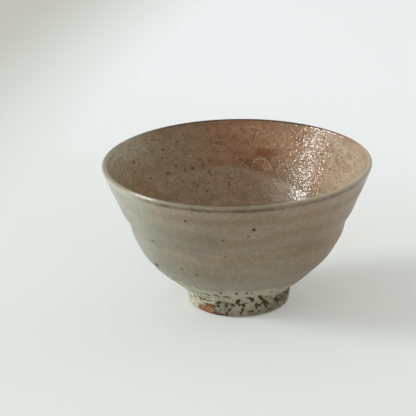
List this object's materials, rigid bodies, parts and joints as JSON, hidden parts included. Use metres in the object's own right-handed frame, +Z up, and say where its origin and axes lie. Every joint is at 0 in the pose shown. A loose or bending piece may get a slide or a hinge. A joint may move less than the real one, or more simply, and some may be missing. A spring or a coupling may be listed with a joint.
{
  "type": "tea bowl",
  "caption": "Wheel-thrown stoneware tea bowl with a rounded lip, ringed flaring wall and turned foot, glazed inside and out, with crawled glaze beads round the foot.",
  "frame": {"origin": "centre of the foot on the table, at the bottom of the bowl", "axes": "+Z up along the bowl's turning axis, with X and Y across the bowl"},
  "size_m": [0.15, 0.15, 0.0835],
  "materials": {
    "stoneware": "fired iron-bearing stoneware, matt",
    "foot_clay": "bare fired clay of the turned foot, matt red-brown",
    "outer_glaze": "satin grey-beige glaze with reddish bands and iron specks",
    "inner_glaze": "glossy reddish-brown glaze with iron specks",
    "lip_glaze": "glossy grey-green glaze, thin over the lip",
    "crawled_glaze": "pale glossy glaze drawn up into beads"
  },
  "bodies": {
    "root": {"clay_wall": "stoneware", "foot": "foot_clay", "outer_glaze": "outer_glaze", "inner_glaze": "inner_glaze", "lip_glaze": "lip_glaze", "foot_glaze": "crawled_glaze", "foot_well_glaze": "crawled_glaze"}
  },
  "joints": []
}
